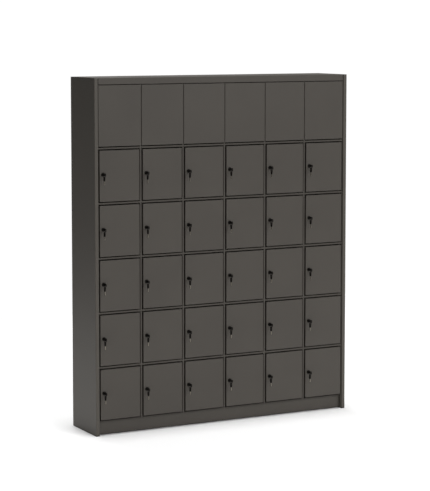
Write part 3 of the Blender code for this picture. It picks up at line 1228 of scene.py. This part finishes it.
class LOCKER_OT_keys(bpy.types.Operator):
    """Puts a key in each lock and hangs the spare one from it on a ring"""

    bl_idname = "locker.keys"
    bl_label = "Keys"

    def execute(self, context):
        head, blade, ring = make_head(), make_blade(), make_ring()
        spare_head = copy_to(head, "spare_head", spare_place())
        spare_blade = copy_to(blade, "spare_blade", spare_place())
        head.data.transform(Matrix.Translation(key_end()))
        blade.data.transform(Matrix.Translation(key_end()))
        ring.data.transform(Matrix.Translation(ring_middle()))
        plastic, nickel, steel = moulded_plastic(), nickel_plate(), burnished_steel()
        for tag, door, place in doors():
            body = turner(tag, door)
            finish(copy_to(head, f"key_head_{tag}", place), plastic, "lock_parts", body)
            finish(copy_to(blade, f"key_blade_{tag}", place), nickel, "key_steel", body)
            finish(copy_to(ring, f"key_ring_{tag}", place), steel, "key_steel", door)
            finish(copy_to(spare_head, f"spare_key_head_{tag}", place), plastic, "lock_parts", door)
            finish(copy_to(spare_blade, f"spare_key_blade_{tag}", place), nickel, "key_steel", door)
        discard(head, blade, ring, spare_head, spare_blade)
        return {"FINISHED"}


class LOCKER_OT_frame(bpy.types.Operator):
    """Coats the posts, rails, shelves, top, back and plinth, and blackens the feet"""

    bl_idname = "locker.frame"
    bl_label = "Frame, top and back"

    def execute(self, context):
        for name, node in frame["nodes"].items():
            if not node.hide_render:
                is_foot = name.startswith("side_foot")
                node.data.materials.clear()
                node.data.materials.append(moulded_plastic() if is_foot else powder_coat())
        return {"FINISHED"}


# Studio


def lay_floor(width):
    """A square of plain pale floor, with the lockers in its middle."""
    deselect()
    bpy.ops.mesh.primitive_plane_add(size=width)
    floor = settle("floor")
    floor.data.materials.append(material("matt studio floor", paint_floor))


def surround(lit, seen):
    """An even room, with one strength for the light that it gives and one for how it looks."""
    world = bpy.data.worlds.new("studio")
    bpy.context.scene.world = world
    world.use_nodes = True
    tree = world.node_tree
    tree.nodes.clear()
    white = (1, 1, 1, 1)
    light = add_node(tree, "Background", inputs={"Color": white, "Strength": lit})
    backdrop = add_node(tree, "Background", inputs={"Color": white, "Strength": seen})
    path = add_node(tree, "LightPath")
    mixed = add_node(
        tree,
        "MixShader",
        inputs={0: path.outputs["Is Camera Ray"], 1: light.outputs[0], 2: backdrop.outputs[0]},
    )
    add_node(tree, "OutputWorld", inputs={"Surface": mixed.outputs[0]})


def hang_ceiling(height, spread, strength):
    """A soft light straight above, which whitens the floor."""
    deselect()
    bpy.ops.object.light_add(type="SUN", location=(0, 0, height))
    lamp = bpy.context.object
    lamp.name = "ceiling_light"
    lamp.data.angle = math.radians(spread)
    lamp.data.energy = strength


def place_softbox(name, azimuth, elevation, size, power, distance=7):
    """A rectangular soft lamp, aimed at the lockers' middle. Azimuth runs from front to right."""
    turn, rise = math.radians(azimuth), math.radians(elevation)
    way = Vector((math.sin(turn) * math.cos(rise), -math.cos(turn) * math.cos(rise), math.sin(rise)))
    middle = Vector((0, 0, CAD_BOX[1].z / 2))
    deselect()
    bpy.ops.object.light_add(type="AREA", location=middle + distance * way)
    lamp = bpy.context.object
    lamp.name = name
    lamp.data.shape = "RECTANGLE"
    lamp.data.size, lamp.data.size_y = size
    lamp.data.energy = power
    lamp.rotation_euler = way.to_track_quat("Z", "Y").to_euler()


def place_camera():
    """The camera at the photograph's viewing angle, set out from the lockers' front left corner."""
    corner = Vector((CAD_BOX[0].x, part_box("side_panel_left")[0].y, 0))
    distance = Vector((-3.6968, -8.2844, 2.1044))
    turn, drop = math.radians(27.900), math.radians(5.137)
    # In pixels of the photograph, whose long side is its height, and in millimetres.
    focus_pixels, long_side, sensor = 1791.9, 491, 36
    deselect()
    bpy.ops.object.camera_add(location=corner + distance, rotation=(RIGHT_ANGLE - drop, 0, -turn))
    camera = bpy.context.object
    camera.data.sensor_width = sensor
    camera.data.lens = focus_pixels / long_side * sensor
    camera.data.shift_y = -0.12
    camera.data.clip_end = 200
    bpy.context.scene.camera = camera


class LOCKER_OT_stage(bpy.types.Operator):
    """Sets up the floor, the soft light and the camera"""

    bl_idname = "locker.stage"
    bl_label = "Studio"

    def execute(self, context):
        lay_floor(width=7)
        surround(lit=0.13, seen=1.02)
        hang_ceiling(height=4, spread=14, strength=2.2)
        place_softbox("key_softbox", azimuth=20, elevation=30, size=(5, 4), power=310)
        place_softbox("back_softbox", azimuth=180, elevation=55, size=(2.5, 2.5), power=210)
        place_camera()
        context.scene.view_settings.view_transform = "Standard"
        return {"FINISHED"}


class LOCKER_PT_pieces(bpy.types.Panel):
    """Lists the pieces of the locker bank and its sizes and colours"""

    bl_idname = "LOCKER_PT_pieces"
    bl_label = "Locker bank"
    bl_space_type = "VIEW_3D"
    bl_region_type = "UI"
    bl_category = "Lockers"

    def draw(self, context):
        for operator in OPERATORS:
            self.layout.operator(operator.bl_idname)
        for group in (sizes(), colours()):
            values = self.layout.box()
            for name in group.__annotations__:
                values.prop(group, name)


OPERATORS = (
    LOCKER_OT_sides,
    LOCKER_OT_blank_panels,
    LOCKER_OT_doors,
    LOCKER_OT_locks,
    LOCKER_OT_keys,
    LOCKER_OT_frame,
    LOCKER_OT_stage,
)
CLASSES = (LockerColours, LockerSizes, *OPERATORS, LOCKER_PT_pieces)


def register():
    for item in CLASSES:
        bpy.utils.register_class(item)
    bpy.types.Scene.locker_colours = PointerProperty(type=LockerColours)
    bpy.types.Scene.locker_sizes = PointerProperty(type=LockerSizes)


def unregister():
    del bpy.types.Scene.locker_sizes
    del bpy.types.Scene.locker_colours
    for item in reversed(CLASSES):
        bpy.utils.unregister_class(item)


def main():
    register()
    bpy.ops.locker.sides()
    bpy.ops.locker.blank_panels()
    bpy.ops.locker.doors()
    bpy.ops.locker.locks()
    bpy.ops.locker.keys()
    bpy.ops.locker.frame()
    bpy.ops.locker.stage()


if __name__ == "__main__":
    main()
